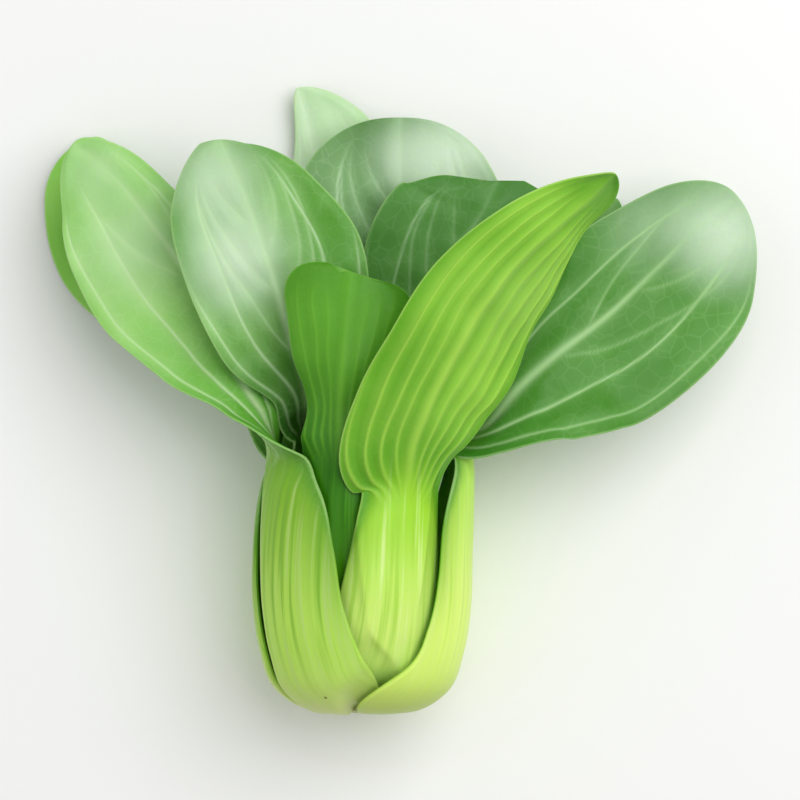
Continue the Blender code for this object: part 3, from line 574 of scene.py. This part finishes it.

# One entry per leaf, the outermost first, as in the solids: place round the body, wrap, thickness and the
# midrib's stations (x, y, z, roll, half widths, curls). grid: rows and columns. In a look, the spots of
# painted sheen and painted shade, and the specks, are (centre, size, strength) in mm; a painted shade spot
# names its own deeper green.
leaves = {
    "leaf_right": dict(
        angle=-4, neck=1.04, wrap=rightWrap, petiole=6.2, tip=2.2, wave=(0.9, 2.6, 0.3),
        grid=(230, 141), veins=rightVeins, stations=[
            (25, -8, 35, -130, 12, 13, 10, 20),
            (34, 3, 37, -158, 22.5, 18, 0, -55),
            (45, 13, 35, -172, 28.5, 22, 4, -45),
            (58, 23, 32, -180, 31, 24, 8, -25),
            (72, 36, 29, -180, 31, 22, 8, -10),
            (85, 49, 27, -180, 25, 16, 5, -5),
            (97, 59, 26, -180, 0, 0, 0, 0)],
        look=dict(waxyUpper, base="#b6cd60", stalk="#e2ff7a", stalkTop="#baf04c", streakDark="#aee040",
                  streakPale="#ecffa0", stalkInsideShade="#64b41c", streaks=0.35,
                  innerDeep="#458624", innerPale="#6ca552", innerFoot="#378408",
                  # painted sheen on the blade's tip
                  sheenAndShadeSpots=[((94, 48, 26), 24, 0.85), ((72, 52, 28), 22, 0.3)],
                  specks=[((10.2, -61, 53.4), 0.45, 0.7)])),
    "leaf_far_left": dict(
        angle=224, wrap=farWrap, petiole=6.2, tip=2.2, wave=(0.9, 2.5, 1.2),
        grid=(130, 91), veins=fan, stations=[
            (-34, -6, 11, 156, 12, 12, 10, 10),
            (-40, 5, 9, 176, 13, 12, 5, 5),
            (-50, 20, 7, 180, 17, 15, 4, 4),
            (-65, 36, 5, 182, 20, 24, 4, 6),
            (-78, 50, 3.5, 184, 15, 26, 4, 6),
            (-87, 65, 3, 184, 10, 19, 4, 4),
            (-91, 77, 4, 182, 0, 0, 0, 0)],
        # painted light: brighter upper greens than the other leaves', to make up for the shade this leaf lies
        # in
        look=dict(waxyUpper, innerDeep="#8cd250", innerPale="#b0e878")),
    "leaf_left": dict(
        angle=162, wrap=leftWrap, petiole=6.2, tip=2.2, wave=(0.9, 2.6, 2.0),
        grid=(200, 131), veins=leftVeins, stations=[
            (-38, -9, 40, 108, 14, 15, 10, 10),
            (-43, 1, 37, 140, 14, 13, -10, 0),
            (-50, 14, 34, 165, 16, 20, -30, 0),
            (-59, 32, 32, 175, 17, 28, -40, 5),
            (-71, 50, 30, 180, 14, 27, -45, 8),
            (-83, 65, 28, 180, 9, 20, -30, 5),
            (-94, 74, 27, 180, 0, 0, 0, 0)],
        look=dict(waxyUpper, innerDeep="#84c456", innerPale="#aedc88", innerFoot="#50a414", vein="#cae8b0",
                  footEnds=0.76, streaks=0.7, streakPale="#c2e084",
                  # painted sheen on the upper blade
                  sheenAndShadeSpots=[((-76, 46, 31), 26, 0.35), ((-88, 66, 28), 16, 0.3)],
                  specks=[((-20.9, -83.7, 52.2), 0.7, 0.85), ((-10.6, -82.4, 55.5), 2.6, 0.35)])),
    "leaf_back_tip": dict(
        angle=285, span=(25, 80), petiole=5.4, tip=1.9, wave=(0.8, 2.2, 0.7),
        grid=(110, 71), veins=fan, stations=[
            (-8, -6, 4.6, 186, 11, 6, 8, 8),
            (-12, 12, 5, 182, 17, 12, 4, 4),
            (-16, 29, 5, 180, 20, 14, 4, 4),
            (-21, 53, 5, 180, 21, 12, 4, 4),
            (-26, 76, 5, 180, 19, 5, 4, 0),
            (-30, 91.5, 6, 180, 0, 0, 0, 0)],
        look=dict(waxyUpper, innerDeep="#bce2aa", innerPale="#d6f0ca", vein="#e2f6da")),
    "leaf_front": dict(
        angle=66, span=(25, 75), petiole=5.6, deep=1.8, sink=4, tip=1.8, neck=0.88, lobe=(9, 0),
        wave=(0.8, 3.0, 0.0), grid=(220, 151), veins=ridges, veinHeight=1.3, puff=1.8, stations=[
            (3, -14, 60, -22, 19, 17, 20, 25),
            (7, -3, 64, -24, 20, 22, 25, 30),
            (14, 11, 69, -26, 19, 26, 30, 40),
            (24, 28, 75, -30, 18, 26, 40, 45),
            (36, 42, 79, -36, 14.5, 22, 40, 50),
            (49, 53, 82, -45, 10.5, 17, 35, 50),
            (59, 62, 84, -55, 0, 0, 0, 0)],
        look=dict(brightUnder, outerFoot="#58a00e", footEnds=0.68, beside=0.6, clouds=0.3, vein="#b2de58",
                  veinShow=0.6,
                  # painted shade at the tip and near the foot, painted sheen between
                  sheenAndShadeSpots=[((59, 62, 84), 17, 0.8, "#4c9412"), ((2, 12, 66), 20, 0.5, "#58a010"),
                         ((40, 24, 72), 26, 0.5, "#b4e266")], specks=[
                             ((-14.3, -66.5, 61.0), 0.5, 0.95), ((-7.8, 4.2, 65), 1.1, 0.4),
                             ((3.6, 4.4, 66), 1.3, 0.35)])),
    "leaf_right_back": dict(
        angle=294, span=(18, 60), petiole=4.8, tip=1.8, wave=(0.8, 2.2, 0.4),
        grid=(90, 61), veins=fan, stations=[
            (12, -3, 13.7, -172, 9, 8.5, 10, 10),
            (23, 9, 9.5, -178, 14, 13, 4, 4),
            (35, 24, 7, -180, 16, 16, 4, 4),
            (48, 41, 4, -180, 14, 15, 4, 4),
            (57, 51, 2.5, -180, 10, 10, 4, 4),
            (64, 59, 2, -180, 0, 0, 0, 0)],
        look=dict(waxyUpper, innerDeep="#4c8a30", innerPale="#78ac58")),
    "leaf_inner_front": dict(
        angle=107, span=(28, 70), petiole=4.6, tip=6.0, crest=(-2.2, -0.4, 1.6), wave=(0.5, 2.2, 1.0),
        grid=(150, 101), veins=ridges,
        veinHeight=0.35, puff=0.3, stations=[
            (-16.6, -2, 56.6, 14, 11.4, 12, 30, 25),
            (-16, 10, 60, 6, 15, 15, 28, 25),
            (-15, 21, 61, 0, 17.5, 17.5, 25, 25),
            (-14.5, 29, 61, 0, 18.5, 19, 25, 25),
            (-14, 36, 60, 0, 0, 0, 0, 0)],
        # painted shade: dark greens on the petiole, for the shade of the gap between the front petioles where
        # it shows
        look=dict(brightUnder, stalk="#489008", stalkTop="#307604", streakDark="#286a02",
                  streakPale="#56a010", stalkEdge="#36760a", outerDeep="#4a900c", outerPale="#62aa24",
                  outerFoot="#347c04", vein="#6cae30", rim="#a6d07a", footEnds=0.8)),
    "leaf_back": dict(
        angle=262, span=(34, 70), petiole=4.6, tip=2.6, wave=(0.9, 3.0, 0.5),
        grid=(150, 111), veins=fan, stations=[
            (-6, 4, 14, 175, 13, 15, 15, 15),
            (-3, 17, 17, 178, 22, 22, 10, 10),
            (-1, 35, 18, 180, 28, 28, 6, 6),
            (0, 52, 19, 180, 31, 31, 4, 4),
            (0, 68, 18, 180, 26, 27, 4, 4),
            (0, 82, 17, 180, 0, 0, 0, 0)],
        look=dict(waxyUpper, innerDeep="#588846", innerPale="#94c084", vein="#cfe8c2",
                  # painted sheen over the right of the blade
                  sheenAndShadeSpots=[((15, 69, 18), 23, 1.0), ((2, 70, 18), 17, 0.6)])),
    "leaf_mid_left": dict(
        angle=200, span=(30, 58), petiole=4.0, tip=2.1, crest=(2.5, 0, 0), wave=(0.9, 3.0, 1.6),
        grid=(180, 131), veins=fan, stations=[
            (-27, 2, 33, 155, 10, 10.3, 15, 5),
            (-32, 20, 42, 172, 24, 21, 5, 0),
            (-37, 38, 45, 178, 27, 24, 5, 5),
            (-43.5, 57, 45, 180, 20, 22.5, 5, 8),
            (-51, 74, 42, 180, 0, 0, 0, 0)],
        look=dict(waxyUpper, innerDeep="#56992c", innerPale="#98cc78", innerFoot="#266c04", vein="#c6e6b2",
                  # painted sheen on the left of the blade, painted shade on its right; the dark foot green is
                  # painted shade too
                  footEnds=0.74, sheenAndShadeSpots=[((-46, 40, 45), 24, 0.8), ((-52, 62, 44), 22, 0.65),
                                        ((-16, 34, 44), 24, 0.8, "#569a34")])),
    "leaf_inner_right": dict(
        angle=320, span=(30, 54), petiole=4.0, deep=10.5, tip=4.0, crest=(-3.5, 0, 0), wave=(0.9, 3.0, 2.4),
        grid=(130, 101), veins=fan,
        stations=[
            (4, 9, 24, -165, 15, 17, 12, 12),
            (9, 28, 28, -178, 19, 22, 6, 6),
            (16, 43, 29.8, -180, 27, 25, 5, 5),
            (23, 53, 29.8, -180, 28, 23, 4, 4),
            (28, 63, 29, -180, 0, 0, 0, 0)],
        # painted shade: darker upper greens, for the shade of the leaves in front of it
        look=dict(waxyUpper, innerDeep="#488630", innerPale="#649c4c", vein="#a2c892")),
    "heart_leaf_1": dict(
        angle=30, span=(36, 46), petiole=3.2, deep=14, tip=1.8, wave=(0.4, 2.0, 0.0),
        grid=(70, 41), veins=fan,
        stations=[(6, 4, 40, -58, 7, 7, 45, 45), (5, 13, 41, -58, 6, 6, 40, 40),
                  (3, 21, 42, -58, 0, 0, 0, 0)],
        look=heart),
    "heart_leaf_2": dict(
        angle=147, span=(31, 41), petiole=3.0, deep=16, tip=1.8, wave=(0.4, 2.0, 1.0),
        grid=(70, 41), veins=fan,
        stations=[(-16, 4, 44, 50, 6, 6, 45, 45), (-14, 10, 46, 48, 6, 6, 40, 40),
                  (-12, 16, 47, 45, 0, 0, 0, 0)],
        look=heart),
    "heart_leaf_3": dict(
        angle=88, span=(40, 50), petiole=2.6, deep=19, tip=1.8, wave=(0.4, 2.0, 2.0),
        grid=(70, 41), veins=fan,
        stations=[(-7, 5, 46, 0, 4.5, 4.5, 40, 40), (-7, 11, 48, 0, 4.5, 4.5, 40, 40),
                  (-6, 17, 49, 0, 0, 0, 0, 0)],
        look=heart),
}

depths = packNest(leaves)
for seed, (name, leaf) in enumerate(leaves.items()):
    outer, inner, X, Y, marks = leafSurface(leaf, depths[name], seed)
    material = leafMaterial("waxyLeaf_" + name, leaf["look"])
    piece = closedSheet("fresh_" + name, outer, inner, X, Y, marks, material)
    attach(piece, "root")
    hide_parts(name)
    print("leaf laid:", name, len(piece.data.polygons) * 2, "triangles")


# Cut stem: a short cone turned about the body's axis, its cut face ringed where the petioles' vessels run
stem = dict(gap=1.3, recess=0.8, topDepth=24.0, topFlat=0.6, topDrop=0.8, cutEdge=(0.8, 0.5), pole=0.02,
            uneven=0.12, steps=96, rings=40)
stemTissue = dict(grain=700.0, stain=260.0, vessels=(0.0040, 0.0050, 0.0054, 0.0062),
                  rimFrom=(0.0050, 0.0078),  # patterns per metre, rings in metres
                  roughness=0.68, bump=0.8, bumpDepth=0.0005)


def stemMaterial():
    # Cut plant tissue, a day old: matt, pale, browner at the rim and in the ring of vessels.
    material = bpy.data.materials.new("cutStemTissue")
    material.use_nodes = True
    tree = material.node_tree
    shader = tree.nodes["Principled BSDF"]
    coordinates = addNode(tree, "ShaderNodeTexCoord")
    axis = (-body["axisX"] * mm, 0.0, -body["axisZ"] * mm)
    centred = addNode(tree, "ShaderNodeMapping", {"Vector": coordinates.outputs["Object"], "Location": axis})
    apart = addNode(tree, "ShaderNodeSeparateXYZ", {0: centred.outputs[0]})
    squares = [maths(tree, "MULTIPLY", apart.outputs[i], apart.outputs[i]) for i in (0, 2)]
    across = maths(tree, "SQRT", maths(tree, "ADD", *squares))
    grain = noiseOf(tree, coordinates.outputs["Object"], stemTissue["grain"], 4.0)
    stain = noiseOf(tree, coordinates.outputs["Object"], stemTissue["stain"], 3.0)
    inner, full, fading, outer = stemTissue["vessels"]
    ring = maths(tree, "MULTIPLY", ranged(tree, across, inner, full), ranged(tree, across, outer, fading))
    ring = maths(tree, "MULTIPLY", ring, ranged(tree, stain, 0.4, 0.6, 0.1, 0.5))
    colour = mixed(tree, grain, "#cfd8a0", "#e2e8bc")
    colour = mixed(tree, ring, colour, "#b2c078")
    colour = mixed(tree, ranged(tree, across, *stemTissue["rimFrom"], 0.0, 0.45), colour, "#b4b86c")
    colour = mixed(tree, ranged(tree, stain, 0.52, 0.66, 0.0, 0.5), colour, "#b39a62")
    tree.links.new(colour, shader.inputs["Base Color"])
    shader.inputs["Roughness"].default_value = stemTissue["roughness"]
    bump = addNode(tree, "ShaderNodeBump", {"Height": grain, "Strength": stemTissue["bump"],
                                            "Distance": stemTissue["bumpDepth"]})
    tree.links.new(bump.outputs[0], shader.inputs["Normal"])
    return material


def stemSurface():
    # profile (radius, y) turned about the body's axis, with a slightly uneven cut
    radius, start = body["skin"][0]
    top = radius * (1 - stem["topDepth"] / body["radius"]) - stem["gap"]
    low, high = start + stem["recess"], start + body["baseLift"] * stem["topDepth"]
    side, pole, (inwards, upwards) = radius - stem["gap"], stem["pole"], stem["cutEdge"]
    corners = np.array([(pole, high), (top * stem["topFlat"], high), (top, high - stem["topDrop"]),
                        (side, low + upwards), (side - inwards, low), (pole, low)])
    steps = np.concatenate([[0], np.cumsum(np.linalg.norm(np.diff(corners, axis=0), axis=1))])
    t = np.sort(np.concatenate([steps, np.linspace(0, steps[-1], stem["rings"])]))
    r, y = np.interp(t, steps, corners[:, 0]), np.interp(t, steps, corners[:, 1])
    turn = np.arange(stem["steps"]) * 2 * np.pi / stem["steps"]
    uneven = stem["uneven"] * np.sin(3 * turn)[None, :] * (r / side)[:, None] * (y < low + 0.1)[:, None]
    return np.stack([body["axisX"] + r[:, None] * np.cos(turn), y[:, None] + uneven,
                     body["axisZ"] + r[:, None] * np.sin(turn)], -1)


def turnedPiece(name, points, material):
    # rings of one turned profile, closed at both ends by a fan
    rings, steps = points.shape[:2]
    at = np.arange(rings * steps).reshape(rings, steps)
    after = np.roll(at, -1, 1)
    sides = np.stack([at[:-1], at[1:], after[1:], after[:-1]], -1).reshape(-1, 4)
    vertices = (points.reshape(-1, 3) * mm).tolist()
    ends = [tuple(at[0].tolist()), tuple(at[-1][::-1].tolist())]
    mesh = bpy.data.meshes.new(name)
    mesh.from_pydata(vertices, [], [tuple(face) for face in sides.tolist()] + ends)
    mesh.polygons.foreach_set("use_smooth", np.ones(len(mesh.polygons), bool))
    mesh.materials.append(material)
    piece = bpy.data.objects.new(name, mesh)
    bpy.context.scene.collection.objects.link(piece)
    return piece


stemPiece = turnedPiece("fresh_stem_base", stemSurface(), stemMaterial())
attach(stemPiece, "root")
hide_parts("stem_base")
print("stem turned")


# Table, lights and the camera straight above
studio = dict(table=3.0, tableColour="#fbfbfa", keyPower=9.0, keySize=1.0, keyAt=(0.45, 0.35, 1.0),
              fillPower=1.6, fillSize=1.2, fillAt=(-0.7, 0.1, 0.9), sky=0.44, cameraHeight=1.2, lens=183.4,
              sensor=36.0, tableRoughness=0.9)  # lengths in metres, powers in watts


def paleTable():
    # Painted board, matt and seamless: it only catches a soft shadow.
    material = bpy.data.materials.new("paintedBoard")
    material.use_nodes = True
    shader = material.node_tree.nodes["Principled BSDF"]
    shader.inputs["Base Color"].default_value = linear(studio["tableColour"])
    shader.inputs["Roughness"].default_value = studio["tableRoughness"]
    half = studio["table"] / 2
    corners = [(-half, -half, 0), (half, -half, 0), (half, half, 0), (-half, half, 0)]
    mesh = bpy.data.meshes.new("table")
    mesh.from_pydata(corners, [], [(0, 1, 2, 3)])
    mesh.materials.append(material)
    table = bpy.data.objects.new("table", mesh)
    bpy.context.scene.collection.objects.link(table)


def softLamp(name, power, size, place):
    # square white lamp whose -Z points at the origin
    lamp = bpy.data.lights.new(name, "AREA")
    lamp.energy, lamp.size = power, size
    thing = bpy.data.objects.new(name, lamp)
    thing.location = place
    thing.rotation_euler = (-Vector(place)).to_track_quat("-Z", "Y").to_euler()
    bpy.context.scene.collection.objects.link(thing)


paleTable()
softLamp("key", studio["keyPower"], studio["keySize"], studio["keyAt"])
softLamp("fill", studio["fillPower"], studio["fillSize"], studio["fillAt"])
world = bpy.data.worlds.new("softRoom")
world.use_nodes = True
world.node_tree.nodes["Background"].inputs["Color"].default_value = (1.0, 1.0, 1.0, 1.0)
world.node_tree.nodes["Background"].inputs["Strength"].default_value = studio["sky"]
bpy.context.scene.world = world

camera = bpy.data.objects.new("camera", bpy.data.cameras.new("camera"))
camera.data.lens, camera.data.sensor_width = studio["lens"], studio["sensor"]
camera.location = (0, 0, studio["cameraHeight"])
bpy.context.scene.collection.objects.link(camera)
bpy.context.scene.camera = camera
bpy.context.scene.view_settings.view_transform = "Standard"  # greens keep their strength
print("table, lamps and camera placed")
